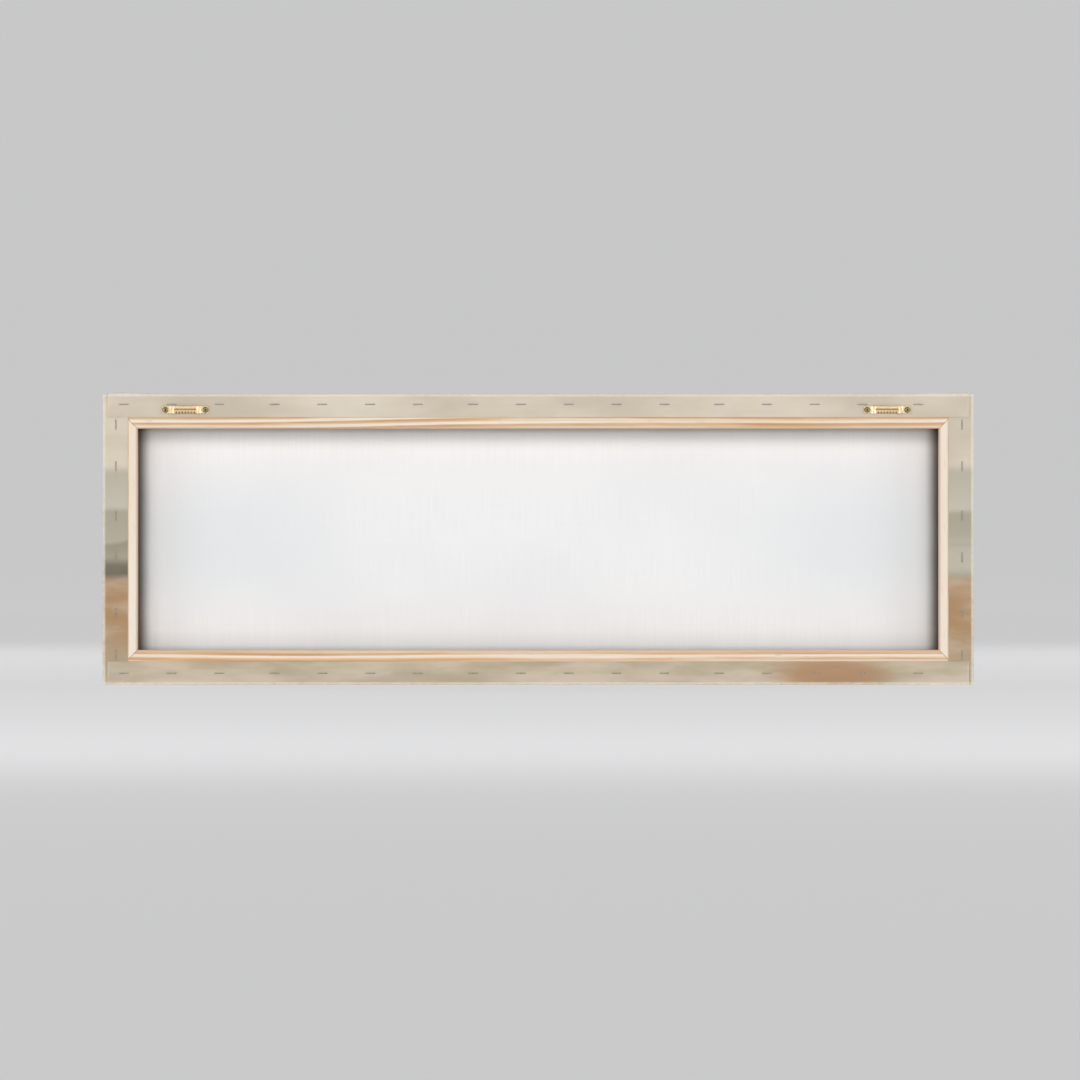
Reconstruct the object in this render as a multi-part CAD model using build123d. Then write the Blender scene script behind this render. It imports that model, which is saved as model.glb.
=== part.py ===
"""A panoramic stretched canvas: printed cloth wrapped round a mitred softwood stretcher frame.

Millimetres. +Z is up as the canvas hangs, the picture faces -Y and the back faces +Y, towards the wall.
The origin is the middle of the bottom edge, on the outside of the cloth and halfway through its depth.
Four bars are mitred and held by V-nails. The cloth is stapled to their backs, and two sawtooth hangers
are screwed through it into the top bar. Left and right are as seen from the picture side.
"""

import os

from build123d import *

# Stretcher frame: its outer size, and one moulding for all four bars
FRAME_LENGTH = 914.4
FRAME_HEIGHT = 304.8
BAR_WIDTH = 36.0
BAR_DEPTH = 38.1
LIP_WIDTH = 9.0  # the part of the front face that the cloth bears on
LIP_RELIEF = 4.0  # how far the front face falls away behind the cloth
OUTER_EDGE_RADIUS = 1.5
INNER_EDGE_RADIUS = 2.0

# Cloth
CLOTH_THICKNESS = 0.45
FLAP_ENDS = 26.0  # how far the cloth reaches round the back, on the two short sides
FLAP_LONG_SIDES = 24.0

# Staples: flat wire, driven through the cloth into the bars
STAPLE_CROWN = 10.6
STAPLE_LEG = 9.0
STAPLE_WIRE_WIDTH = 1.3
STAPLE_WIRE_THICKNESS = 0.5
STAPLE_BEND_RADIUS = 0.45
STAPLE_POINT = 1.2  # height of the chisel point
STAPLE_PROUD = 0.15  # how far the crown stands above the cloth
STAPLE_INSET = {"top": 10.7, "bottom": 11.6, "left": 11.9, "right": 13.5}  # from the bar's outer edge

# Staple rows, counted from the right-hand end or the top: where a row starts, the step between staples,
# the runs of (staples, step to the next run) that repeat, and the length left clear at the far end
LONG_ROW = {"start": 21.8, "pitch": 50.2, "runs": ((3, 58.0), (4, 58.0), (5, 57.7), (4, 58.5)), "clear": 40.0}
SHORT_ROW = {"start": 31.8, "pitch": 43.8, "runs": ((2, 52.0), (2, 58.3)), "clear": 28.0}

# V-nails across each mitre, stacked in pairs
V_NAIL_LEG = 6.5
V_NAIL_THICKNESS = 0.6
V_NAIL_HEIGHT = 12.0
V_NAIL_STACK = 2
V_NAIL_SINK = 1.0  # below the back of the bar
V_NAIL_PLACES = (7.5, 18.5)  # from the outer corner, along both bars

# Sawtooth hangers: a stamped strip that steps up twice from each screw tab to a raised middle
HANGER_LENGTH = 49.4
HANGER_HEIGHT = 8.3
HANGER_SHEET = 0.8
HANGER_CORNER_RADIUS = 1.0
HANGER_END_INSET = {"left": 90.4, "right": 86.5}  # from the end of the frame to the middle of the hanger
HANGER_DROP = 16.4  # from the top of the frame to the middle of the hanger
TAB_LENGTH = 8.1
STEP_RUN = 1.5  # length of one slope along the strip
STEP_SHELF = 1.7  # length of the flat between the two slopes
STEP_RISE = 0.95  # height of one slope
UPPER_BAND_HEIGHT = 3.4
BAND_SETBACK = 0.55  # the toothed band lies this much nearer to the frame than the upper band
TOOTH_TIP_GAP = 0.35  # the tips stop this far above the tabs' lower edge
TOOTH_PITCH = 3.15
NOTCH_DEPTH = 2.3
NOTCH_WIDTH = 2.3

# Pan-head cross-recess screws
SCREW_END_INSET = 3.7  # from the end of the hanger
SCREW_LENGTH = 12.7
SCREW_MAJOR_RADIUS = 1.45
SCREW_ROOT_RADIUS = 1.0
SCREW_THREAD_PITCH = 1.15
SCREW_THREAD_CREST = 0.2
SCREW_PLAIN = 1.6  # unthreaded length under the head
SCREW_POINT = 2.2
SCREW_HEAD_RADIUS = 3.1
SCREW_HEAD_HEIGHT = 2.0
SCREW_HEAD_EDGE = 0.5  # height of the head's straight rim
SCREW_HEAD_FLAT = 1.0  # radius of the flat round the recess
SCREW_HOLE_CLEARANCE = 0.2
RECESS_SPAN = 3.2
RECESS_WIDTH = 0.8
RECESS_DEPTH = 1.3
RECESS_TAPER = 12.0

# Planes that several pieces share, in the frame's own coordinates, which have its middle at zero
BACK_OF_BARS = BAR_DEPTH / 2
OUTSIDE_OF_CLOTH = BACK_OF_BARS + CLOTH_THICKNESS
HALF_LENGTH = FRAME_LENGTH / 2
HALF_HEIGHT = FRAME_HEIGHT / 2
FRAME_TO_PART = Pos(0, 0, HALF_HEIGHT + CLOTH_THICKNESS)
BAR_TURNS = {"top": 0, "right": 90, "bottom": 180, "left": -90}
CORNERS = {
    "top_right": (0, 1, 1),
    "bottom_right": (90, 1, -1),
    "bottom_left": (180, -1, -1),
    "top_left": (-90, -1, 1),
}


def wrapped_box(allowance):
    """The frame's rounded outer form, grown on every side by an allowance."""
    grown = 2 * allowance
    box = Box(FRAME_LENGTH + grown, BAR_DEPTH + grown, FRAME_HEIGHT + grown)
    return fillet(box.edges(), OUTER_EDGE_RADIUS + allowance)


def stretcher_bar(side):
    """One bar with both mitres cut, made along X as a top bar and then turned to its side."""
    upright = side in ("left", "right")
    half, reach = (HALF_HEIGHT, HALF_LENGTH) if upright else (HALF_LENGTH, HALF_HEIGHT)
    front, back, inner = -BACK_OF_BARS, BACK_OF_BARS, reach - BAR_WIDTH
    lip_end, inner_front = (front, reach - LIP_WIDTH), (front + LIP_RELIEF, inner)
    moulding = make_face(
        Polyline((front, reach), lip_end, inner_front, (back, inner), (back, reach), close=True)
    )
    inner_back = moulding.vertices().group_by(Axis.Y)[0].sort_by(Axis.X)[-1]
    moulding = Plane.YZ * fillet(inner_back, INNER_EDGE_RADIUS)
    inner_half = half - BAR_WIDTH
    mitres = Polyline((-half, reach), (half, reach), (inner_half, inner), (-inner_half, inner), close=True)
    plan = Plane.XZ * make_face(mitres)
    mitred = extrude(moulding, half, both=True) & extrude(plan, BAR_DEPTH, both=True)
    return Rot(0, BAR_TURNS[side], 0) * mitred & wrapped_box(0)


def staple():
    """One staple with its crown along X at the origin and its legs driven towards -Y."""
    half, wire, leg = STAPLE_CROWN / 2, STAPLE_WIRE_THICKNESS, STAPLE_LEG
    right_leg = [(half, 0), (half, -leg), (half - wire, STAPLE_POINT - leg), (half - wire, -wire)]
    left_leg = [(-x, y) for x, y in reversed(right_leg)]
    bent_wire = make_face(Polyline(*right_leg, *left_leg, close=True))
    bent_wire = fillet(bent_wire.vertices().group_by(Axis.Y)[-1], STAPLE_BEND_RADIUS)
    return extrude(bent_wire, STAPLE_WIRE_WIDTH / 2, both=True)


def row_places(span, row):
    """Distances along a bar of its staples, run after run until the length left clear at the far end."""
    places, at = [], row["start"]
    while True:
        for count, step in row["runs"]:
            for _ in range(count):
                if at > span - row["clear"]:
                    return places
                places.append(at)
                at += row["pitch"]
            at += step - row["pitch"]


def staples_of(side):
    """Every staple along one side."""
    crown, inset = OUTSIDE_OF_CLOTH + STAPLE_PROUD, STAPLE_INSET[side]
    if side in ("top", "bottom"):
        z = (HALF_HEIGHT - inset) * (1 if side == "top" else -1)
        return [Pos(HALF_LENGTH - at, crown, z) * staple() for at in row_places(FRAME_LENGTH, LONG_ROW)]
    x = (HALF_LENGTH - inset) * (1 if side == "right" else -1)
    upright = Rot(0, 90, 0) * staple()
    return [Pos(x, crown, HALF_HEIGHT - at) * upright for at in row_places(FRAME_HEIGHT, SHORT_ROW)]


def v_nail():
    """One V-nail with its bend at the origin and its legs towards -X and -Z, driven in from Y = 0."""
    leg, thick = V_NAIL_LEG, V_NAIL_THICKNESS
    bent_strip = make_face(
        Polyline((0, 0), (-leg, 0), (-leg, -thick), (-thick, -thick), (-thick, -leg), (0, -leg), close=True)
    )
    return Pos(0, -V_NAIL_HEIGHT / 2, 0) * extrude(Plane.XZ * bent_strip, V_NAIL_HEIGHT / 2, both=True)


def v_nails_of(corner):
    """The V-nails of one corner, with a leg in each of its two bars."""
    turn, side_x, side_z = CORNERS[corner]
    nails = []
    for place in V_NAIL_PLACES:
        for layer in range(V_NAIL_STACK):
            y = BACK_OF_BARS - V_NAIL_SINK - layer * V_NAIL_HEIGHT
            seat = Pos(side_x * (HALF_LENGTH - place), y, side_z * (HALF_HEIGHT - place))
            nails.append(seat * Rot(0, turn, 0) * v_nail())
    return nails


def hanger():
    """One hanger along X, its middle at the origin and the backs of its tabs on the plane Y = 0."""
    half, sheet, top = HANGER_LENGTH / 2, HANGER_SHEET, HANGER_HEIGHT / 2
    tab, shelf, raised = half - TAB_LENGTH, half - TAB_LENGTH - STEP_RUN, 2 * STEP_RISE
    bridge = shelf - STEP_SHELF - STEP_RUN
    side = [(bridge, raised), (shelf - STEP_SHELF, STEP_RISE), (shelf, STEP_RISE), (tab, 0), (half, 0)]
    under = [(-x, y) for x, y in reversed(side)] + side
    over = [(x, y + sheet) for x, y in reversed(under)]
    strip = extrude(make_face(Polyline(*under, *over, close=True)), top, both=True)
    tab_corners = strip.edges().filter_by(Axis.Y).group_by(Axis.X)
    strip = fillet(tab_corners[0] + tab_corners[-1], HANGER_CORNER_RADIUS)

    # The lower part of the raised middle is pressed back towards the frame, and its edge cut into teeth
    band_top, tip = top - UPPER_BAND_HEIGHT, TOOTH_TIP_GAP - top
    strip -= Pos(0, raised, band_top) * Box(
        2 * bridge, 4 * sheet, HANGER_HEIGHT, align=(Align.CENTER, Align.CENTER, Align.MAX)
    )
    band = Pos(0, raised - BAND_SETBACK, tip) * Box(
        2 * bridge + STEP_RUN, sheet, band_top + sheet - tip, align=(Align.CENTER, Align.MIN, Align.MIN)
    )
    notch = make_face(Polyline((-NOTCH_WIDTH / 2, 0), (0, NOTCH_DEPTH), (NOTCH_WIDTH / 2, 0), close=True))
    notch = Pos(0, 0, tip) * extrude(Plane.XZ * notch, 2 * raised + sheet, both=True)
    notches = int(2 * bridge / TOOTH_PITCH)
    for n in range(notches):
        band -= Pos((n - (notches - 1) / 2) * TOOTH_PITCH, 0, 0) * notch
    strip += band
    hole = Rot(90, 0, 0) * Cylinder(SCREW_MAJOR_RADIUS + SCREW_HOLE_CLEARANCE, 4 * sheet)
    for x in (-half + SCREW_END_INSET, half - SCREW_END_INSET):
        strip -= Pos(x, 0, 0) * hole
    return strip


def screw():
    """One screw pointing towards -Y, with the seat of its head at the origin."""
    head, major, root, pitch = SCREW_HEAD_RADIUS, SCREW_MAJOR_RADIUS, SCREW_ROOT_RADIUS, SCREW_THREAD_PITCH
    flat_edge, rim = (SCREW_HEAD_FLAT, SCREW_HEAD_HEIGHT), (head, SCREW_HEAD_EDGE)
    dome = TangentArc(flat_edge, rim, tangent=(1, 0))
    shank = [rim, (head, 0), (major, 0), (major, -SCREW_PLAIN)]
    flank = (pitch - SCREW_THREAD_CREST) / 2
    start = -SCREW_PLAIN - flank
    shank.append((root, start))
    while start - pitch > SCREW_POINT - SCREW_LENGTH:
        shank += [(major, start - flank), (major, start - flank - SCREW_THREAD_CREST), (root, start - pitch)]
        start -= pitch
    axis_line = Polyline(*shank, (0, -SCREW_LENGTH), (0, SCREW_HEAD_HEIGHT), flat_edge)
    blank = revolve(make_face(dome + axis_line), Axis.Y)
    cross = Rectangle(RECESS_SPAN, RECESS_WIDTH) + Rectangle(RECESS_WIDTH, RECESS_SPAN)
    recess = extrude(cross, -RECESS_DEPTH, taper=RECESS_TAPER)
    return blank - Pos(0, SCREW_HEAD_HEIGHT, 0) * Rot(-90, 0, 0) * recess


def canvas():
    """The cloth as one shell: the picture face, the four edges and the flaps on the back."""
    opening = Box(FRAME_LENGTH - 2 * FLAP_ENDS, 4 * CLOTH_THICKNESS, FRAME_HEIGHT - 2 * FLAP_LONG_SIDES)
    return wrapped_box(CLOTH_THICKNESS) - wrapped_box(0) - Pos(0, OUTSIDE_OF_CLOTH, 0) * opening


def write(name, solids):
    """Writes one node, moved from the frame's own coordinates to the part's."""
    placed = [FRAME_TO_PART * solid for solid in solids]
    export_step(placed[0] if len(placed) == 1 else Compound(children=placed), f"parts/{name}.step")


os.makedirs("parts", exist_ok=True)

staples = {side: staples_of(side) for side in BAR_TURNS}
nails = {corner: v_nails_of(corner) for corner in CORNERS}
hangers, screws = {}, {}
for name, side in (("left", -1), ("right", 1)):
    x, z = side * (HALF_LENGTH - HANGER_END_INSET[name]), HALF_HEIGHT - HANGER_DROP
    hangers[name] = Pos(x, OUTSIDE_OF_CLOTH, z) * hanger()
    for place, along in (("outer", side), ("inner", -side)):
        screw_x = x + along * (HANGER_LENGTH / 2 - SCREW_END_INSET)
        screws[f"{name}_{place}"] = Pos(screw_x, OUTSIDE_OF_CLOTH + HANGER_SHEET, z) * screw()

cloth = canvas()
for fasteners in (*staples.values(), screws.values()):
    cloth -= list(fasteners)
write("canvas", [cloth])

for side in BAR_TURNS:
    bar = stretcher_bar(side) - staples[side]
    bar -= [nail for corner in CORNERS if side in corner for nail in nails[corner]]
    if side == "top":
        bar -= list(screws.values())
    write(f"stretcher_bar_{side}", [bar])
    write(f"staples_{side}", staples[side])
for corner in CORNERS:
    write(f"v_nails_{corner}", nails[corner])
for name, strip in hangers.items():
    write(f"sawtooth_hanger_{name}", [strip])
for name, fastener in screws.items():
    write(f"hanger_screw_{name}", [fastener])
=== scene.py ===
"""The looks of a panoramic stretched canvas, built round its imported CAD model. Metres, +Z up.

The picture faces -Y and the back, with the hangers, faces +Y. The sections follow the order in which the
canvas is put together: bars, V-nails, cloth, staples, hangers, screws, and then the studio.
"""

from math import cos, exp, pi, radians, sin

import bmesh
import bpy
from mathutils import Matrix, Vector


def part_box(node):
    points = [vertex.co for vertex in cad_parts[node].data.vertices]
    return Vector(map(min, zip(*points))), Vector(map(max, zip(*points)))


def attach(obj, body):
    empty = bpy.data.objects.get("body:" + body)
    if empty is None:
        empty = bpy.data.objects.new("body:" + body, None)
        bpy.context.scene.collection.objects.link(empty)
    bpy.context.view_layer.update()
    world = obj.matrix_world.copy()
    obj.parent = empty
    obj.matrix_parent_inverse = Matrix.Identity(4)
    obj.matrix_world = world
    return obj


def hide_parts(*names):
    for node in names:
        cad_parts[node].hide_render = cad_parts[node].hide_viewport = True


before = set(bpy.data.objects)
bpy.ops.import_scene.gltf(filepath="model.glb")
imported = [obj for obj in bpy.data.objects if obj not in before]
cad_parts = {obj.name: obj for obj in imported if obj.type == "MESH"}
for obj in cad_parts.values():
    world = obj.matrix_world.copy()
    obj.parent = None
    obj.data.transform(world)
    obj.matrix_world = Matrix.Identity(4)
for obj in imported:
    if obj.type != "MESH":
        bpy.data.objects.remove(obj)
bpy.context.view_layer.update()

# ---------------------------------------------------------------------------------------------------------
# Stretcher bars: four lengths of one pine moulding, planed, mitred and left bare. The top and bottom bars
# are flat-sawn, so their growth rings show as long flames, and the two short ones are plain pale sapwood.

MM = 0.001
FLAP_ENDS = 26 * MM  # how far the cloth comes over the back of the short bars
FLAP_LONG = 24 * MM  # and over the back of the long ones


def add(tree, kind, inputs=None, **settings):
    """A node with its settings, and its inputs set to values or linked to other nodes' sockets."""
    node = tree.nodes.new("ShaderNode" + kind)
    for name, value in settings.items():
        setattr(node, name, value)
    for name, value in (inputs or {}).items():
        if isinstance(value, bpy.types.NodeSocket):
            tree.links.new(value, node.inputs[name])
        else:
            node.inputs[name].default_value = value
    return node


def maths(tree, operation, a, b=0.0, c=0.0):
    return add(tree, "Math", {0: a, 1: b, 2: c}, operation=operation).outputs[0]


def between(tree, value, low, high, to_low=0.0, to_high=1.0):
    """A smooth step from to_low to to_high as the value goes from low to high."""
    levels = {"Value": value, "From Min": low, "From Max": high, "To Min": to_low, "To Max": to_high}
    return add(tree, "MapRange", levels, interpolation_type="SMOOTHSTEP").outputs[0]


def blend(tree, share, under, over, how="MIX"):
    """The over colour laid on the under one by a share."""
    node = add(tree, "Mix", data_type="RGBA", blend_type=how)
    for socket, value in ((0, share), (6, under), (7, over)):
        if isinstance(value, bpy.types.NodeSocket):
            tree.links.new(value, node.inputs[socket])
        else:
            node.inputs[socket].default_value = value
    return node.outputs[2]


def srgb(red, green, blue):
    """A colour as a paint chart gives it, 0 to 255, in the linear values that a shader reads."""
    levels = [v / 255 for v in (red, green, blue)]
    return (*[v / 12.92 if v <= 0.04045 else ((v + 0.055) / 1.055) ** 2.4 for v in levels], 1.0)


def ramp(tree, value, stops):
    """The colour of a value between 0 and 1, from stops of (place, colour)."""
    node = add(tree, "ValToRGB", {"Fac": value})
    for n, (place, colour) in enumerate(stops):
        stop = node.color_ramp.elements[n] if n < 2 else node.color_ramp.elements.new(place)
        stop.position, stop.color = place, colour
    return node.outputs["Color"]


def grown(tree, vector, scale, detail=3.0, roughness=0.5):
    """A noise value, which blotches, grain and unevenness come from."""
    inputs = {"Vector": vector, "Scale": scale, "Detail": detail, "Roughness": roughness}
    return add(tree, "TexNoise", inputs).outputs["Fac"]


def stretched(tree, vector, scale):
    return add(tree, "VectorMath", {0: vector, 1: scale}, operation="MULTIPLY").outputs[0]


def new_group(name, inputs, outputs):
    """An empty effect with named sockets, and the nodes that bring its inputs and take its outputs."""
    group = bpy.data.node_groups.new(name, "ShaderNodeTree")
    for socket, kind in inputs.items():
        group.interface.new_socket(socket, in_out="INPUT", socket_type="NodeSocket" + kind)
    for socket, kind in outputs.items():
        group.interface.new_socket(socket, in_out="OUTPUT", socket_type="NodeSocket" + kind)
    return group, group.nodes.new("NodeGroupInput").outputs, group.nodes.new("NodeGroupOutput").inputs


def use_group(tree, group, inputs):
    node = tree.nodes.new("ShaderNodeGroup")
    node.node_tree = group
    for name, value in inputs.items():
        if isinstance(value, bpy.types.NodeSocket):
            tree.links.new(value, node.inputs[name])
        else:
            node.inputs[name].default_value = value
    return node.outputs


def new_material(name, settings=None):
    """A material, its node tree, and its shader with the plain settings made."""
    material = bpy.data.materials.new(name)
    material.use_nodes = True
    shader = material.node_tree.nodes["Principled BSDF"]
    for socket, value in (settings or {}).items():
        shader.inputs[socket].default_value = value
    return material, material.node_tree, shader


def relief(tree, shader, height, distance, strength=1.0):
    bump = add(tree, "Bump", {"Height": height, "Distance": distance, "Strength": strength})
    tree.links.new(bump.outputs[0], shader.inputs["Normal"])


def coat(name, material):
    """Gives a CAD node its one material."""
    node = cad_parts[name]
    node.data.materials.clear()
    node.data.materials.append(material)
    return node


SURFACE = {"Color": "Color", "Roughness": "Float", "Height": "Float"}  # what a wood or metal effect gives


def pine_grain():
    """Sawn pine along X: rings round a pith, fine fibres and resin streaks."""
    inputs = {"Vector": "Vector", "Pith": "Vector", "Ring": "Float", "Figure": "Float", "Contrast": "Float"}
    t, given, gives = new_group("pine_grain", inputs, SURFACE)
    place = given["Vector"]
    sweep = grown(t, stretched(t, place, (2.2, 9.0, 9.0)), 1.0, 0.0)
    waver = grown(t, stretched(t, place, (9.0, 60.0, 60.0)), 1.0, 2.0)
    drift = maths(t, "MULTIPLY_ADD", waver, 0.05, sweep)
    wander = maths(t, "MULTIPLY", maths(t, "SUBTRACT", drift, 0.52), given["Figure"])
    from_pith = add(t, "VectorMath", {0: place, 1: given["Pith"]}, operation="SUBTRACT").outputs[0]
    across = stretched(t, from_pith, (0.0, 1.0, 1.0))
    radius = add(t, "VectorMath", {0: across}, operation="LENGTH").outputs["Value"]
    rings = maths(t, "DIVIDE", maths(t, "ADD", radius, wander), given["Ring"])
    phase = maths(t, "FRACT", rings)
    late = maths(t, "MULTIPLY", between(t, phase, 0.1, 0.78), between(t, phase, 0.8, 1.0, 1.0, 0.0))
    uneven = grown(t, stretched(t, place, (7.0, 130.0, 130.0)), 1.0, 2.0)
    late = maths(t, "MULTIPLY", late, between(t, uneven, 0.3, 0.65, 0.4, 1.0))
    fibres = grown(t, stretched(t, place, (26.0, 1300.0, 1300.0)), 1.0, 3.0, 0.6)
    bands = between(t, grown(t, stretched(t, place, (3.0, 420.0, 420.0)), 1.0, 2.0, 0.6), 0.35, 0.7)
    tone = maths(t, "MULTIPLY_ADD", late, given["Contrast"], maths(t, "MULTIPLY", fibres, 0.22))
    tone = maths(t, "MULTIPLY_ADD", bands, maths(t, "MULTIPLY", given["Contrast"], 0.28), tone)
    wood = ramp(
        t,
        tone,
        [
            (0.0, srgb(247, 239, 226)),
            (0.25, srgb(240, 227, 208)),
            (0.5, srgb(226, 192, 152)),
            (0.95, srgb(204, 152, 102)),
        ],
    )
    clouds = grown(t, stretched(t, place, (5.0, 26.0, 26.0)), 1.0, 2.0)
    wood = blend(t, between(t, clouds, 0.4, 0.75, 0.0, 0.3), wood, srgb(244, 222, 196), "MULTIPLY")
    streaks = grown(t, stretched(t, place, (45.0, 900.0, 900.0)), 1.0, 1.0)
    wood = blend(t, between(t, streaks, 0.68, 0.78, 0.0, 0.35), wood, srgb(176, 122, 74))
    t.links.new(wood, gives["Color"])
    t.links.new(between(t, late, 0.0, 1.0, 0.62, 0.46), gives["Roughness"])
    t.links.new(maths(t, "MULTIPLY_ADD", fibres, 0.6, maths(t, "MULTIPLY", late, 0.4)), gives["Height"])
    return t


def outline_distance():
    """How far out a place is from a rectangle about the frame's middle, less than nothing inside it: in
    all, past its ends and past its long sides. The last value is how far it is from the mitres."""
    t, given, gives = new_group(
        "outline_distance",
        {"Vector": "Vector", "Middle": "Vector", "Half": "Vector"},
        {"Out": "Float", "Ends": "Float", "Long": "Float", "Mitre": "Float"},
    )
    moved = add(t, "VectorMath", {0: given["Vector"], 1: given["Middle"]}, operation="SUBTRACT").outputs[0]
    folded = add(t, "VectorMath", {0: moved}, operation="ABSOLUTE").outputs[0]
    past = add(t, "VectorMath", {0: folded, 1: given["Half"]}, operation="SUBTRACT").outputs[0]
    sides = add(t, "SeparateXYZ", {0: past}).outputs
    t.links.new(maths(t, "MAXIMUM", sides[0], sides[2]), gives["Out"])
    t.links.new(sides[0], gives["Ends"])
    t.links.new(sides[2], gives["Long"])
    t.links.new(maths(t, "ABSOLUTE", maths(t, "SUBTRACT", sides[0], sides[2])), gives["Mitre"])
    return t


PINE_GRAIN = pine_grain()
OUTLINE = outline_distance()
PINES = {
    "top": dict(turn=0.0, pith=(0.0, -0.004, 0.252), ring=4.6 * MM, figure=15 * MM, contrast=0.66),
    "bottom": dict(turn=0.0, pith=(0.0, -0.002, 0.054), ring=4.9 * MM, figure=15 * MM, contrast=0.66),
    "left": dict(turn=90.0, pith=(0.0, 0.020, 0.600), ring=5.2 * MM, figure=5 * MM, contrast=0.05),
    "right": dict(turn=90.0, pith=(0.0, 0.028, -0.650), ring=4.8 * MM, figure=5 * MM, contrast=0.05),
}
bars_low = Vector([min(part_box(f"stretcher_bar_{side}")[0][n] for side in PINES) for n in range(3)])
bars_high = Vector([max(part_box(f"stretcher_bar_{side}")[1][n] for side in PINES) for n in range(3)])
bars_middle, bars_half = (bars_low + bars_high) / 2, (bars_high - bars_low) / 2
top_low, top_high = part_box("stretcher_bar_top")
bar_width = top_high.z - top_low.z
opening = bars_half - Vector((bar_width, 0.0, bar_width))


def outline(tree, place, corner):
    """The distance outputs for the rectangle with this corner, as seen from its middle."""
    return use_group(tree, OUTLINE, {"Vector": place, "Middle": bars_middle, "Half": corner})


for side, cut in PINES.items():
    pine, tree, shader = new_material(f"pine_{side}", {"Specular IOR Level": 0.35})
    place = add(tree, "TexCoord").outputs["Object"]
    along = add(tree, "Mapping", {"Vector": place, "Rotation": (0.0, radians(cut["turn"]), 0.0)}).outputs[0]
    named = {socket: cut[socket.lower()] for socket in ("Pith", "Ring", "Figure", "Contrast")}
    grain = use_group(tree, PINE_GRAIN, {"Vector": along, **named})
    # The saw darkens the mitre, and a painted shadow darkens the bar along the cloth's cut edge
    edges = outline(tree, place, opening)
    mitre = between(tree, edges["Mitre"], 0.15 * MM, 0.55 * MM, 0.8, 0.0)
    wood = blend(tree, mitre, grain["Color"], srgb(92, 56, 32))
    cloth_edge_shadow = outline(tree, place, bars_half - Vector((FLAP_ENDS, 0.0, FLAP_LONG)))["Out"]
    cloth_edge_shadow = between(tree, maths(tree, "ABSOLUTE", cloth_edge_shadow), 0.5 * MM, 1.5 * MM, 0.55, 0.0)
    wood = blend(tree, cloth_edge_shadow, wood, srgb(214, 158, 106))
    # Painted shade darkens the bars' rounded inner edge
    arris_shade = between(tree, edges["Out"], 0.8 * MM, 2.6 * MM, 0.6, 0.0)
    wood = blend(tree, arris_shade, wood, srgb(214, 178, 146))
    tree.links.new(wood, shader.inputs["Base Color"])
    tree.links.new(grain["Roughness"], shader.inputs["Roughness"])
    relief(tree, shader, grain["Height"], 0.12 * MM, 0.5)
    coat(f"stretcher_bar_{side}", pine)

# ---------------------------------------------------------------------------------------------------------
# V-nails: bent blued strip, driven across each mitre from the back in stacks of two. The cloth hides them.


def scuffed_metal():
    """Drawn or stamped metal: faint lines along the work, fine specks and dulled patches."""
    inputs = {"Vector": "Vector", "Bright": "Color", "Dull": "Color", "Tarnish": "Float"}
    t, given, gives = new_group("scuffed_metal", inputs, SURFACE)
    patches = grown(t, given["Vector"], 240.0, 3.0, 0.6)
    specks = grown(t, given["Vector"], 3200.0, 2.0, 0.6)
    lines = grown(t, stretched(t, given["Vector"], (240.0, 5200.0, 5200.0)), 1.0, 2.0)
    worn = between(t, maths(t, "MULTIPLY_ADD", specks, 0.3, patches), 0.5, 0.95)
    tarnished = maths(t, "MULTIPLY", worn, given["Tarnish"])
    t.links.new(blend(t, tarnished, given["Bright"], given["Dull"]), gives["Color"])
    t.links.new(between(t, maths(t, "ADD", worn, lines), 0.3, 1.6, 0.24, 0.48), gives["Roughness"])
    t.links.new(maths(t, "MULTIPLY_ADD", lines, 0.6, maths(t, "MULTIPLY", specks, 0.4)), gives["Height"])
    return t


SCUFFED_METAL = scuffed_metal()


def metal(name, bright, dull, tarnish, metallic=1.0):
    """A metal finish: its bright colour, dulled in patches by a share of tarnish."""
    material, tree, shader = new_material(name, {"Metallic": metallic})
    place = add(tree, "TexCoord").outputs["Object"]
    finish = {"Bright": bright, "Dull": dull, "Tarnish": tarnish}
    marks = use_group(tree, SCUFFED_METAL, {"Vector": place, **finish})
    tree.links.new(marks["Color"], shader.inputs["Base Color"])
    tree.links.new(marks["Roughness"], shader.inputs["Roughness"])
    relief(tree, shader, marks["Height"], 0.02 * MM, 0.6)
    return material


nail_steel = metal("nail_steel", srgb(150, 152, 158), srgb(84, 86, 94), 0.8)
for corner in ("top_left", "top_right", "bottom_left", "bottom_right"):
    coat(f"v_nails_{corner}", nail_steel)

# ---------------------------------------------------------------------------------------------------------
# Canvas: one piece of cotton cloth, printed on its outer side and bare behind. It is cut with notched
# corners, pulled round the bars and stapled. The ends go round first, and their cut corners turn over the
# long edges. The long sides are folded in at the ends and laid over them.

CLOTH = 0.45 * MM
RIM = 1.5 * MM  # radius of the bars' outer edges
TUCK = 9 * MM  # how much cloth turns under at each corner
FOLD_SET_BACK = 3.4 * MM  # the folded end stands further from the corner towards the back
FIRST_LAYER = 0.58 * MM  # lift of the turned-in cloth over the end's cloth
SECOND_LAYER = 1.25 * MM  # lift of the outer cloth over both
STAPLE_DENT = 0.34 * MM

low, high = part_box("canvas")
centre = (low + high) / 2
reach = (high - low) / 2  # from the middle to the cloth's outside
bend = RIM + CLOTH / 2  # radius of the cloth's middle round an edge
inset = [r - CLOTH - RIM for r in reach]  # from the middle to where an edge starts to bend
quarter = bend * pi / 2
wall = 2 * inset[1]
to_back = 2 * quarter + wall
ends_cut = inset[0] + to_back + FLAP_ENDS - RIM
long_cut = inset[2] + to_back + FLAP_LONG - RIM


def places_of(node, axis):
    """The middle of each staple in a row, from the gaps between them."""
    across = sorted(v.co[axis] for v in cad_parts[node].data.vertices)
    starts = [0] + [n for n in range(1, len(across)) if across[n] - across[n - 1] > 0.02] + [len(across)]
    return [(across[a] + across[b - 1]) / 2 for a, b in zip(starts, starts[1:])]


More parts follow.
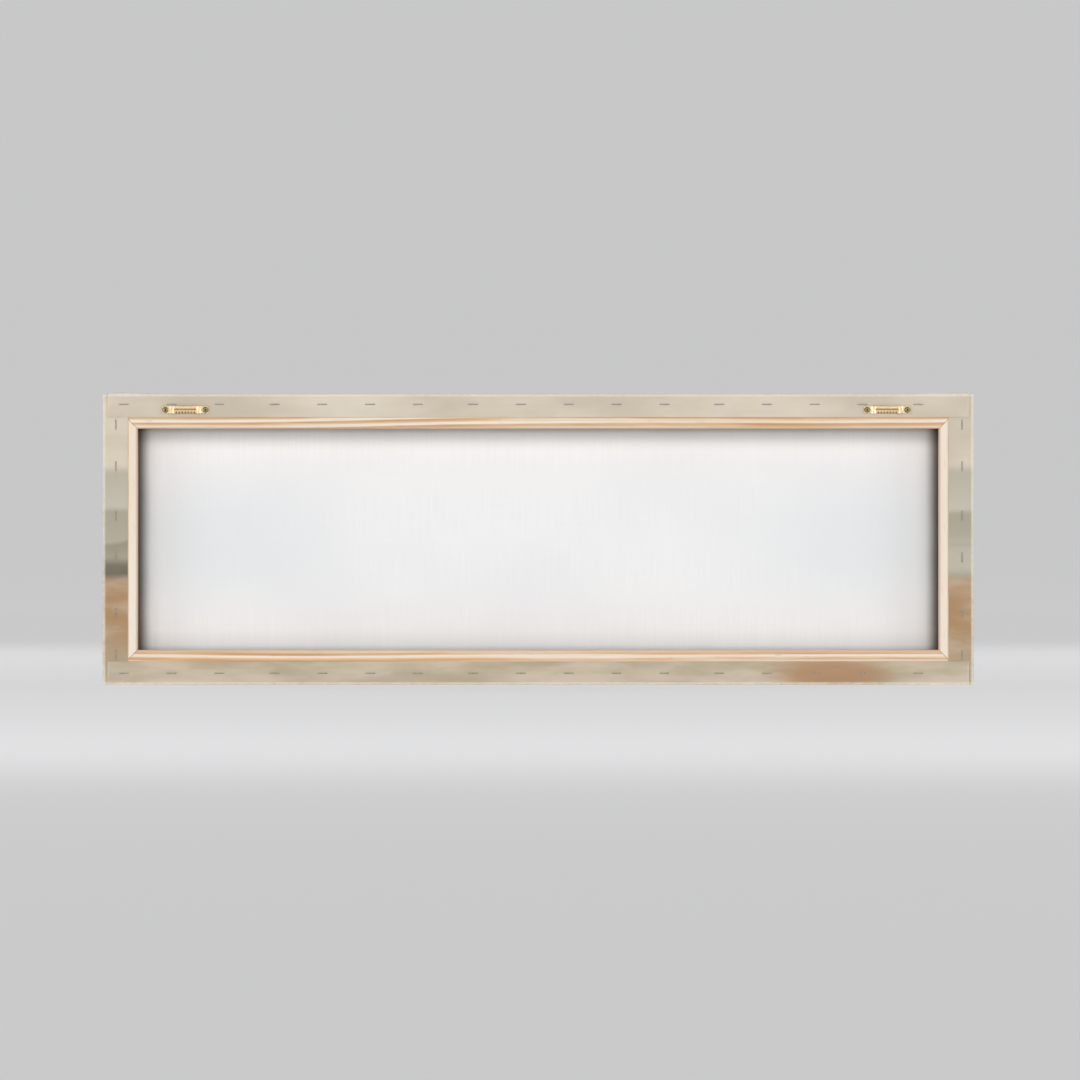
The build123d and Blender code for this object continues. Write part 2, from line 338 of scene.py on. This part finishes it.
staple_rows, held_at = {}, {}
for side, axis in (("top", 0), ("bottom", 0), ("left", 2), ("right", 2)):
    row = sum(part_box(f"staples_{side}"), Vector()) / 2 - centre
    held_at[side] = [place - centre[axis] for place in places_of(f"staples_{side}", axis)]
    staple_rows[side] = [(place, row.z) if axis == 0 else (row.x, place) for place in held_at[side]]
screws = [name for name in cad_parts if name.startswith("hanger_screw")]
held_at["top"] += [(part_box(screw)[0].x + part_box(screw)[1].x) / 2 - centre.x for screw in screws]


def smooth(value, low, high):
    t = min(1.0, max(0.0, (value - low) / (high - low)))
    return t * t * (3 - 2 * t)


def wrapped(past, lift):
    """Where the cloth lies this far past the front face: how far out from where the edge starts to
    bend, and how deep from the middle of the bars."""
    r = bend + lift
    if past <= 0:
        return past, -inset[1] - r
    if past < quarter:
        return r * sin(past / bend), -inset[1] - r * cos(past / bend)
    if past < quarter + wall:
        return r, past - quarter - inset[1]
    if past < to_back:
        turn = (past - quarter - wall) / bend
        return r * cos(turn), inset[1] + r * sin(turn)
    return to_back - past, inset[1] + r


def pulled_down(rows, across, up, along):
    """How much the nearest staple presses the cloth down here, from 0 to 1."""
    most = 0.0
    for x, z in rows:
        on, off = (across - x, up - z) if along == 0 else (up - z, across - x)
        if abs(on) < 12 * MM and abs(off) < 8 * MM:
            beyond = max(0.0, abs(on) - 4.6 * MM) / (1.7 * MM)
            most = max(most, exp(-(beyond**2) - (off / (1.5 * MM)) ** 2))
    return most


def slack(places, at, free):
    """How far the cloth's free edge stands off the bar between the places where it is held."""
    nearest = min(abs(at - place) for place in places)
    return 0.42 * MM * free * free * smooth(nearest, 4 * MM, 22 * MM)


def end_cloth(past_end, past_long, lift=0.0):
    """Round an end, and past a long edge, where a cut corner turns over: how far out, how deep, and how
    far out past the long edge."""
    out, deep = wrapped(past_end, lift)
    turn = min(max(past_long, 0.0) / bend, pi / 2)
    inwards = max(0.0, past_long - quarter)
    return out * cos(turn) - inwards, deep, out * sin(turn) if past_long > 0 else past_long


def long_cloth(past_end, past_long, side_x, side):
    """Round a long side. Near a corner it rides up over the end's cloth, and it is folded in there."""
    grow = smooth(past_long, 0.0, 9 * MM)
    set_back = FOLD_SET_BACK * min(1.0, max(0.0, past_long - quarter) / wall)
    on_back = max(0.0, past_long - to_back)
    fold_radius = (SECOND_LAYER - FIRST_LAYER) / 2 * grow
    half_turn = fold_radius * pi / 2
    tucked = 0.0
    if past_end > half_turn:
        tucked = (past_end - half_turn) / (past_long - half_turn)
        inwards, lift = set_back, FIRST_LAYER * grow
    elif past_end > -half_turn:
        turn = (past_end + half_turn) / (2 * half_turn) * pi
        inwards = set_back + fold_radius * (1 - sin(turn))
        lift = (FIRST_LAYER + SECOND_LAYER) / 2 * grow + fold_radius * cos(turn)
    else:
        inwards = fold_radius - past_end - half_turn
        inwards += set_back * (1 - smooth(inwards, 0.0, 60 * MM))
        tuck_end = set_back + TUCK + 0.5 * MM
        over_tuck = 1 - smooth(inwards, tuck_end, tuck_end + 5 * MM)
        # Taut cloth spans the step on the long edge, where no staple holds it down
        span = 1 - smooth(inwards, tuck_end, tuck_end + 70 * MM)
        over_tuck += (span - over_tuck) * (1 - smooth(past_long, to_back - quarter, to_back + 3 * MM))
        over_end = 1 - smooth(inwards, FLAP_ENDS - 1 * MM, FLAP_ENDS + 6 * MM)
        over_end *= smooth(on_back, 0.0, 2 * MM)
        lift = grow * (FIRST_LAYER * over_end + (SECOND_LAYER - FIRST_LAYER * over_end) * over_tuck)
    if on_back > 0:
        x, z = side_x * (inset[0] - inwards), inset[2] - on_back
        held = pulled_down(staple_rows[side], x, z if side == "top" else -z, 0)
        lift = lift * (1 - held) - STAPLE_DENT * held
        free = smooth(on_back, 11 * MM, FLAP_LONG - RIM)
        lift += slack(held_at[side], x, free) * smooth(inwards, 20 * MM, 40 * MM)
    out, deep = wrapped(past_long, lift)
    return Vector((-inwards, deep, out)).lerp(Vector(end_cloth(past_long, past_long)), tucked)


def fold(u, v):
    """The place of a point of the flat cloth, u along and v up from its middle, when it is stretched."""
    side_x, side_z = (1 if u >= 0 else -1), (1 if v >= 0 else -1)
    past_end, past_long = abs(u) - inset[0], abs(v) - inset[2]
    if past_long > 0 and past_end <= past_long:
        x, deep, z = long_cloth(past_end, past_long, side_x, "top" if side_z > 0 else "bottom")
        return Vector((side_x * (inset[0] + x), deep, side_z * (inset[2] + z)))
    lift = 0.0
    on_back = past_end - to_back
    if on_back > 0:
        side = "right" if side_x > 0 else "left"
        x = side_x * (inset[0] - on_back)
        free = smooth(on_back, 12 * MM, FLAP_ENDS - RIM)
        lift = slack(held_at[side], v, free) * smooth(-past_long, 22 * MM, 34 * MM)
        lift -= STAPLE_DENT * pulled_down(staple_rows[side], x, v, 1)
        over_side = "top" if side_z > 0 else "bottom"
        lift -= (STAPLE_DENT + FIRST_LAYER) * pulled_down(staple_rows[over_side], x, v, 0)
    x, deep, z = end_cloth(past_end, past_long, lift)
    return Vector((side_x * (inset[0] + x), deep, side_z * (inset[2] + z)))


def steps(start, end, size):
    """Evenly spaced places from start up to, but not including, end."""
    count = max(1, round((end - start) / size))
    return [start + (end - start) * n / count for n in range(count)]


def lines(cut, bend_at, staple_line, staples):
    """Places of the cloth's lines from its middle to a cut edge, close together where it bends."""
    second_bend, line = bend_at + to_back - quarter, bend_at + to_back + staple_line
    places, at = [], 0.0
    for staple in sorted(s for s in staples if 0 < s < bend_at - 12 * MM):
        if staple - at > 20 * MM:
            places += steps(at, staple - 7 * MM, 13 * MM)
        places += [staple + n * MM for n in (-7.0, -5.6, -4.4, -2.0, 2.0, 4.4, 5.6)]
        at = staple + 7 * MM
    places += steps(at, bend_at - 9 * MM, 13 * MM)
    for start, end, step in (
        (bend_at - 9 * MM, bend_at - 0.6 * MM, 2.8 * MM),
        (bend_at - 0.6 * MM, bend_at + 0.6 * MM, 0.2 * MM),
        (bend_at + 0.6 * MM, bend_at + quarter, 0.43 * MM),
        (bend_at + quarter, bend_at + TUCK, 2.3 * MM),
        (bend_at + TUCK, second_bend, 5 * MM),
        (second_bend, second_bend + quarter, 0.46 * MM),
        (second_bend + quarter, line - 3.2 * MM, 2.4 * MM),
        (line - 3.2 * MM, line + 3.2 * MM, 0.8 * MM),
        (line + 3.2 * MM, cut, 2.6 * MM),
    ):
        places += steps(start, end, step)
    return places + [cut]


def mirrored(cut, bend_at, staple_lines, staples):
    """The lines from one cut edge to the other, through the middle."""
    below = lines(cut, bend_at, staple_lines[0], [-s for s in staples])
    return [-place for place in reversed(below[1:])] + lines(cut, bend_at, staple_lines[1], staples)


along = mirrored(
    ends_cut,
    inset[0],
    [inset[0] - abs(staple_rows[side][0][0]) for side in ("left", "right")],
    held_at["bottom"],
)
up = mirrored(
    long_cut,
    inset[2],
    [inset[2] - abs(staple_rows[side][0][1]) for side in ("bottom", "top")],
    held_at["left"],
)
sheet = bmesh.new()
columns, rows = len(along) - 1, len(up) - 1
bmesh.ops.create_grid(sheet, x_segments=columns, y_segments=rows, size=1.0)
for vertex in sheet.verts:
    column, row = round((vertex.co.x + 1) / 2 * columns), round((vertex.co.y + 1) / 2 * rows)
    vertex.co = (along[column], up[row], 0.0)
notches = []
for face in sheet.faces:
    middle = face.calc_center_median()
    past_end, past_long = abs(middle.x) - inset[0], abs(middle.y) - inset[2]
    if min(past_end, past_long) > TUCK or (past_end > to_back and past_long > 0):
        notches.append(face)
bmesh.ops.delete(sheet, geom=notches, context="FACES")
flat_cut = sheet.loops.layers.uv.new("flat_cut")
for face in sheet.faces:
    for loop in face.loops:
        loop[flat_cut].uv = loop.vert.co.xy
cut_area = sum(face.calc_area() for face in sheet.faces)
for vertex in sheet.verts:
    vertex.co = fold(vertex.co.x, vertex.co.y) + centre


def piece_from(mesh_data, name, materials):
    """A piece from finished mesh data."""
    mesh = bpy.data.meshes.new(name)
    mesh_data.to_mesh(mesh)
    mesh_data.free()
    for material in materials:
        mesh.materials.append(material)
    piece = bpy.data.objects.new(name, mesh)
    bpy.context.collection.objects.link(piece)
    return piece


def applied(piece, modifier):
    """Makes the piece's modifier into mesh, shaded smooth except where it turns a sharp corner."""
    bpy.context.view_layer.update()
    worked = bpy.data.meshes.new_from_object(piece.evaluated_get(bpy.context.evaluated_depsgraph_get()))
    piece.modifiers.remove(modifier)
    piece.data = worked
    worked.shade_smooth()
    worked.set_sharp_from_angle(angle=radians(40))


def weave():
    """Plain cotton weave on the flat cloth: warp and weft, thicker and thinner threads, and slubs."""
    outputs = {"Height": "Float", "Slubs": "Float"}
    t, given, gives = new_group("weave", {"Vector": "Vector", "Pitch": "Float"}, outputs)
    split = add(t, "SeparateXYZ", {0: given["Vector"]}).outputs
    sway = grown(t, given["Vector"], 90.0, 2.0)
    threads = []
    for axis, other in ((0, 1), (1, 0)):
        place = maths(t, "ADD", split[axis], maths(t, "MULTIPLY", sway, 0.0012))
        count = maths(t, "DIVIDE", place, given["Pitch"])
        crossed = maths(t, "ADD", maths(t, "DIVIDE", split[other], given["Pitch"]), maths(t, "FLOOR", count))
        round_thread = maths(t, "ABSOLUTE", maths(t, "SINE", maths(t, "MULTIPLY", count, pi)))
        over = maths(t, "SINE", maths(t, "MULTIPLY", crossed, pi))
        threads.append(maths(t, "MULTIPLY", round_thread, maths(t, "MULTIPLY_ADD", over, 0.35, 0.65)))
    t.links.new(maths(t, "MAXIMUM", threads[0], threads[1]), gives["Height"])
    warp = grown(t, stretched(t, given["Vector"], (1100.0, 16.0, 1.0)), 1.0, 2.0, 0.6)
    weft = grown(t, stretched(t, given["Vector"], (16.0, 1100.0, 1.0)), 1.0, 2.0, 0.6)
    t.links.new(maths(t, "MULTIPLY_ADD", warp, 0.7, maths(t, "MULTIPLY", weft, 0.3)), gives["Slubs"])
    return t


WEAVE = weave()
THREAD = 0.52 * MM


def cloth_colours(name, settings):
    """A cloth material with its weave's bump ready, and the flat coordinates that its pattern is drawn on."""
    material, tree, shader = new_material(name, settings)
    flat = add(tree, "UVMap", uv_map="flat_cut").outputs[0]
    woven = use_group(tree, WEAVE, {"Vector": flat, "Pitch": THREAD})
    relief(tree, shader, woven["Height"], 0.06 * MM, 0.55)
    return material, tree, shader, flat, woven


def ridge(tree, under, flat, height, at, rise, pace, haze, colours, softness):
    """A layer of the picture: everything below a wandering skyline, hazier towards its foot."""
    walk = {"Vector": flat, "Scale": (pace, 0.0, 0.0), "Location": (at * 40, 3.7, at)}
    line = grown(tree, add(tree, "Mapping", walk).outputs[0], 1.0, 4.0, 0.55)
    skyline = maths(tree, "MULTIPLY_ADD", maths(tree, "SUBTRACT", line, 0.5), rise, at)
    below = maths(tree, "SUBTRACT", skyline, height)
    body = blend(tree, between(tree, below, 0.0, haze), colours[0], colours[1])
    return blend(tree, between(tree, below, -softness, softness), under, body)


def printed():
    """The picture: pale mist over layered hills, with a dark tree line and russet ground low down."""
    material, tree, shader, flat, _ = cloth_colours("printed_canvas", {"Specular IOR Level": 0.3})
    split = add(tree, "SeparateXYZ", {0: flat}).outputs
    height = maths(tree, "MULTIPLY_ADD", split[1], 1 / (2 * reach.z), 0.5)
    clouds = grown(tree, stretched(tree, flat, (7.0, 16.0, 1.0)), 1.0, 4.0, 0.5)
    colour = blend(tree, between(tree, clouds, 0.3, 0.7), srgb(202, 190, 170), srgb(224, 213, 194))
    for at, rise, pace, haze, softness, top, foot in (
        (0.72, 0.16, 3.0, 0.2, 0.02, srgb(188, 181, 163), srgb(202, 196, 180)),
        (0.60, 0.20, 4.0, 0.2, 0.014, srgb(172, 165, 146), srgb(186, 180, 162)),
        (0.48, 0.12, 6.0, 0.1, 0.01, srgb(156, 149, 131), srgb(178, 171, 151)),
        (0.40, 0.09, 30.0, 0.06, 0.014, srgb(134, 127, 107), srgb(152, 140, 115)),
    ):
        colour = ridge(tree, colour, flat, height, at, rise, pace, haze, (top, foot), softness)
    # Mist hides the lower hills at one end
    mist_end = between(tree, split[0], -0.30, -0.42)
    mist_high = maths(tree, "ABSOLUTE", maths(tree, "SUBTRACT", height, 0.43))
    mist_high = between(tree, mist_high, 0.03, 0.09, 0.85, 0.0)
    colour = blend(tree, maths(tree, "MULTIPLY", mist_end, mist_high), colour, srgb(196, 189, 172))
    # A darker wood stands at the other end of the tree line
    wood_end = between(tree, split[0], 0.36, 0.46)
    wood_high = maths(tree, "ABSOLUTE", maths(tree, "SUBTRACT", height, 0.395))
    wood_high = between(tree, wood_high, 0.01, 0.05, 0.9, 0.0)
    colour = blend(tree, maths(tree, "MULTIPLY", wood_end, wood_high), colour, srgb(112, 106, 88))
    ground = grown(tree, stretched(tree, flat, (9.0, 34.0, 1.0)), 1.0, 4.0, 0.55)
    field = blend(tree, between(tree, ground, 0.38, 0.62), srgb(174, 140, 103), srgb(190, 166, 138))
    near = blend(tree, between(tree, ground, 0.35, 0.65), srgb(184, 170, 144), srgb(208, 194, 172))
    field = blend(tree, between(tree, height, 0.0, 0.22, 1.0, 0.0), field, near)
    below = maths(tree, "MULTIPLY_ADD", ground, 0.05, maths(tree, "SUBTRACT", 0.34, height))
    colour = blend(tree, between(tree, below, -0.02, 0.02), colour, field)
    # Russet earth comes round the lower edge
    patch = add(tree, "VectorMath", {0: flat, 1: (-0.305, -0.2, 0.0)}, operation="SUBTRACT").outputs[0]
    patch = stretched(tree, patch, (1.0, 2.2, 1.0))
    spread = add(tree, "VectorMath", {0: patch}, operation="LENGTH").outputs["Value"]
    spread = maths(tree, "MULTIPLY_ADD", ground, 0.05, spread)
    colour = blend(tree, between(tree, spread, 0.05, 0.11, 0.85, 0.0), colour, srgb(176, 134, 95))
    # Painted shadow darkens the cloth under each hanger, and shows between its teeth
    place = add(tree, "TexCoord").outputs["Object"]
    depth = add(tree, "SeparateXYZ", {0: place}).outputs[1]
    on_back = between(tree, depth, centre.y + inset[1], centre.y + reach.y - CLOTH)
    for side in ("left", "right"):
        hanger_low, hanger_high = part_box(f"sawtooth_hanger_{side}")
        raised = (hanger_high - hanger_low) / 2 - Vector((9 * MM, 0.0, 0.6 * MM))
        under = {"Vector": place, "Middle": (hanger_low + hanger_high) / 2, "Half": raised}
        hanger_shadow = between(tree, use_group(tree, OUTLINE, under)["Out"], -0.5 * MM, 1.0 * MM, 0.8, 0.0)
        colour = blend(tree, maths(tree, "MULTIPLY", hanger_shadow, on_back), colour, srgb(84, 64, 44))
    # The ink cracks a little and rubs pale along every fold, and the pale line is also a painted highlight on
    # the rounded folds
    rubbed = grown(tree, flat, 160.0, 4.0, 0.6)
    for socket, bend_at in ((split[0], inset[0]), (split[1], inset[2])):
        for line in (bend_at + quarter / 2, bend_at + to_back - quarter / 2):
            off = maths(tree, "ABSOLUTE", maths(tree, "SUBTRACT", maths(tree, "ABSOLUTE", socket), line))
            worn = between(tree, off, 0.5 * MM, 3.2 * MM, 0.75, 0.0)
            worn = maths(tree, "MULTIPLY", worn, between(tree, rubbed, 0.2, 0.6, 0.5, 1.0))
            colour = blend(tree, worn, colour, srgb(240, 232, 214))
    tree.links.new(colour, shader.inputs["Base Color"])
    tree.links.new(between(tree, rubbed, 0.3, 0.7, 0.58, 0.68), shader.inputs["Roughness"])
    return material


def bare_back():
    """The unprinted back: bleached cotton with fine upright streaks, and painted shadow where it meets the
    bars.
    """
    finish = {"Roughness": 0.9, "Specular IOR Level": 0.15}
    material, tree, shader, flat, woven = cloth_colours("bare_canvas", finish)
    colour = blend(tree, between(tree, woven["Slubs"], 0.3, 0.7), srgb(243, 243, 243), srgb(248, 248, 248))
    clouds = grown(tree, flat, 6.0, 2.0)
    colour = blend(tree, between(tree, clouds, 0.4, 0.7, 0.0, 0.5), colour, srgb(238, 239, 240))
    # The darker middle of the picture shows through a little near both ends
    halves = add(tree, "VectorMath", {0: flat}, operation="ABSOLUTE").outputs[0]
    sides = add(tree, "SeparateXYZ", {0: halves}).outputs
    through = between(tree, sides[1], 0.01, 0.10, 1.0, 0.0)
    through = maths(tree, "MULTIPLY", between(tree, sides[0], 0.14, 0.36), through)
    colour = blend(tree, maths(tree, "MULTIPLY", through, 0.8), colour, srgb(230, 234, 236))
    edge = outline(tree, add(tree, "TexCoord").outputs["Object"], opening)
    uneven = maths(tree, "MULTIPLY_ADD", grown(tree, flat, 30.0, 3.0), 1.6 * MM, -0.8 * MM)
    # Painted shade and shadow darken the cloth beside the bars, most beside the short ones
    for name, width, dark in (("Ends", 15 * MM, 0.9), ("Long", 6 * MM, 0.2)):
        off = maths(tree, "ADD", edge[name], uneven)
        painted_edge_shade = between(tree, off, -24 * MM, 0.0, 0.0, 0.5)
        colour = blend(tree, painted_edge_shade, colour, srgb(218, 228, 234), "MULTIPLY")
        painted_edge_shadow = between(tree, off, -width, 0.0, 0.0, dark)
        colour = blend(tree, painted_edge_shadow, colour, srgb(84, 66, 48), "MULTIPLY")
    tree.links.new(colour, shader.inputs["Base Color"])
    return material


def cut_edge():
    """The cut edge of the cloth: white thread ends."""
    material, tree, shader = new_material("cut_canvas", {"Roughness": 0.95, "Specular IOR Level": 0.1})
    place = add(tree, "TexCoord").outputs["Object"]
    ends = grown(tree, place, 2400.0, 2.0, 0.6)
    threads = blend(tree, between(tree, ends, 0.3, 0.7), srgb(214, 206, 190), srgb(240, 236, 226))
    tree.links.new(threads, shader.inputs["Base Color"])
    relief(tree, shader, ends, 0.1 * MM)
    return material


canvas = piece_from(sheet, "wrapped_canvas", [printed(), bare_back(), cut_edge()])
thickness = canvas.modifiers.new("thickness", "SOLIDIFY")
thickness.thickness, thickness.offset = CLOTH, 0.0
thickness.material_offset, thickness.material_offset_rim = 1, 2
applied(canvas, thickness)
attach(canvas, "root")
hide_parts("canvas")

# ---------------------------------------------------------------------------------------------------------
# Staples: flat galvanised wire, driven from the back, their crowns sunk into the cloth. The wire is coined
# on its edges.


def softened(node, width):
    """Rounds a CAD node's sharp edges a little, as stamping, drawing and plating leave them."""
    weld = node.modifiers.new("weld", "WELD")
    weld.merge_threshold = 0.002 * MM
    rounding = node.modifiers.new("edges", "BEVEL")
    rounding.width, rounding.segments = width, 2
    rounding.limit_method, rounding.angle_limit = "ANGLE", radians(35)
    rounding.harden_normals = True


staple_steel = metal("staple_steel", srgb(178, 175, 170), srgb(120, 118, 114), 0.8)
for side in ("top", "bottom", "left", "right"):
    softened(coat(f"staples_{side}", staple_steel), 0.07 * MM)

# ---------------------------------------------------------------------------------------------------------
# Sawtooth hangers: brass-plated sheet steel, stamped with a raised toothed middle between two screw tabs.

UPPER_BAND = 3.4 * MM  # the strip above the teeth, which stands furthest from the bar


def plating(material):
    """A metal's tree, its shader and the socket of its colour, for a stain to be laid over it."""
    shader = material.node_tree.nodes["Principled BSDF"]
    return material.node_tree, shader, shader.inputs["Base Color"].links[0].from_socket


for side in ("left", "right"):
    hanger_low, hanger_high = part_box(f"sawtooth_hanger_{side}")
    hanger_brass = metal(f"hanger_brass_{side}", srgb(255, 230, 186), srgb(206, 164, 108), 0.6, 0.8)
    tree, shader, plated = plating(hanger_brass)
    place = add(tree, "TexCoord").outputs["Object"]
    # The rim is darkened, the toothed part is toned tan, and a painted shadow darkens the line where the
    # toothed part is pressed back
    strip = {"Middle": (hanger_low + hanger_high) / 2, "Half": (hanger_high - hanger_low) / 2}
    rim = use_group(tree, OUTLINE, {"Vector": place, **strip})
    height = add(tree, "SeparateXYZ", {0: place}).outputs[2]
    below_line = maths(tree, "SUBTRACT", hanger_high.z - UPPER_BAND, height)
    toothed = between(tree, rim["Ends"], -13.5 * MM, -12.5 * MM, 1.0, 0.0)
    lower = maths(tree, "MULTIPLY", between(tree, below_line, 0.0, 0.3 * MM, 0.0, 0.55), toothed)
    line = between(tree, maths(tree, "ABSOLUTE", below_line), 0.3 * MM, 0.7 * MM, 0.95, 0.0)
    dark_rim_and_shadow_line = between(tree, rim["Out"], -0.7 * MM, -0.1 * MM, 0.0, 0.6)
    dark_rim_and_shadow_line = maths(tree, "MAXIMUM", maths(tree, "MULTIPLY", line, toothed), dark_rim_and_shadow_line)
    plated = blend(tree, lower, plated, srgb(214, 172, 118))
    tree.links.new(blend(tree, dark_rim_and_shadow_line, plated, srgb(104, 70, 40)), shader.inputs["Base Color"])
    softened(coat(f"sawtooth_hanger_{side}", hanger_brass), 0.12 * MM)

# ---------------------------------------------------------------------------------------------------------
# Screws: small pan heads with a cross recess, antique brass finish, two through each hanger's tabs.

screw_brass = metal("screw_brass", srgb(184, 172, 128), srgb(96, 90, 64), 0.9)
tree, shader, plated = plating(screw_brass)
# Dark finish stays in the recess and round the rim of the head
head_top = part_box(screws[0])[1].y
place = add(tree, "TexCoord").outputs["Object"]
sunk = maths(tree, "SUBTRACT", head_top, add(tree, "SeparateXYZ", {0: place}).outputs[1])
stain = between(tree, sunk, 0.7 * MM, 1.1 * MM, 0.0, 0.9)
tree.links.new(blend(tree, stain, plated, srgb(34, 28, 18)), shader.inputs["Base Color"])
for screw in screws:
    softened(coat(screw, screw_brass), 0.08 * MM)

# ---------------------------------------------------------------------------------------------------------
# Studio: a pale floor that curves up into a round wall, soft lights all round, and a camera square to the
# back.

AIM = Vector((0.0, 0.0, 0.15))  # the middle of the canvas, which every light faces
EYE_ACROSS, EYE_HEIGHT, EYE_DISTANCE = -0.0019, 0.1521, 15.76  # the last one from the cloth's back
FLOOR_RADIUS, WALL_BEND, WALL_TOP, BEND_STEPS = 17.0, 4.0, 9.0, 24


def soft_light(name, place, size, watts):
    light = bpy.data.lights.new(name, "AREA")
    light.shape, light.size, light.size_y, light.energy = "RECTANGLE", size[0], size[1], watts
    lamp = bpy.data.objects.new(name, light)
    lamp.location = place
    lamp.rotation_euler = (AIM - Vector(place)).to_track_quat("-Z", "Y").to_euler()
    lamp.visible_camera = False
    bpy.context.collection.objects.link(lamp)


bowl = bmesh.new()
outline_points = [(0.0, 0.0), (FLOOR_RADIUS, 0.0)]
for n in range(1, BEND_STEPS + 1):
    turn = pi / 2 * n / BEND_STEPS
    outline_points.append((FLOOR_RADIUS + WALL_BEND * sin(turn), WALL_BEND * (1 - cos(turn))))
outline_points.append((FLOOR_RADIUS + WALL_BEND, WALL_TOP))
chain = [bowl.verts.new((x, 0.0, z)) for x, z in outline_points]
profile = chain + [bowl.edges.new(pair) for pair in zip(chain, chain[1:])]
full_turn = {"cent": (0, 0, 0), "axis": (0, 0, 1), "dvec": (0, 0, 0), "angle": 2 * pi, "steps": 96}
bmesh.ops.spin(bowl, geom=profile, use_merge=True, **full_turn)
bmesh.ops.remove_doubles(bowl, verts=bowl.verts, dist=0.001)
bmesh.ops.recalc_face_normals(bowl, faces=bowl.faces)
paper_finish, tree, shader = new_material("studio_paper", {"Roughness": 0.9, "Specular IOR Level": 0.1})
shader.inputs["Base Color"].default_value = srgb(125, 125, 126)
shader.inputs["Emission Color"].default_value = srgb(243, 243, 244)
shader.inputs["Emission Strength"].default_value = 0.56
floor = piece_from(bowl, "studio_floor", [paper_finish])
floor.data.shade_smooth()

soft_light("key_light", (0.0, 5.6, 2.6), (2.6, 1.6), 62)
soft_light("back_light_left", (3.4, 5.8, 1.5), (2.0, 2.0), 50)
soft_light("back_light_right", (-3.4, 5.8, 1.5), (2.0, 2.0), 50)
soft_light("side_light_left", (3.6, 2.2, 0.7), (1.4, 2.0), 24)
soft_light("side_light_right", (-3.6, 2.2, 0.7), (1.4, 2.0), 24)
soft_light("picture_light_left", (-3.0, -4.5, 2.2), (2.0, 2.0), 84)
soft_light("picture_light_right", (3.0, -4.5, 2.2), (2.0, 2.0), 84)
soft_light("ceiling_light", (0.0, 0.0, 9.0), (16.0, 16.0), 260)
world = bpy.data.worlds.new("studio")
world.use_nodes = True
world.node_tree.nodes["Background"].inputs["Color"].default_value = (0.95, 0.97, 1.0, 1.0)
world.node_tree.nodes["Background"].inputs["Strength"].default_value = 0.12
bpy.context.scene.world = world
bpy.context.scene.view_settings.view_transform = "Standard"

lens = bpy.data.cameras.new("camera")
lens.lens, lens.sensor_width = 500.0, 36.0
camera = bpy.data.objects.new("camera", lens)
camera.location = (EYE_ACROSS, centre.y + reach.y + EYE_DISTANCE, EYE_HEIGHT)
camera.rotation_euler = (radians(90), 0.0, radians(180))
bpy.context.collection.objects.link(camera)
bpy.context.scene.camera = camera
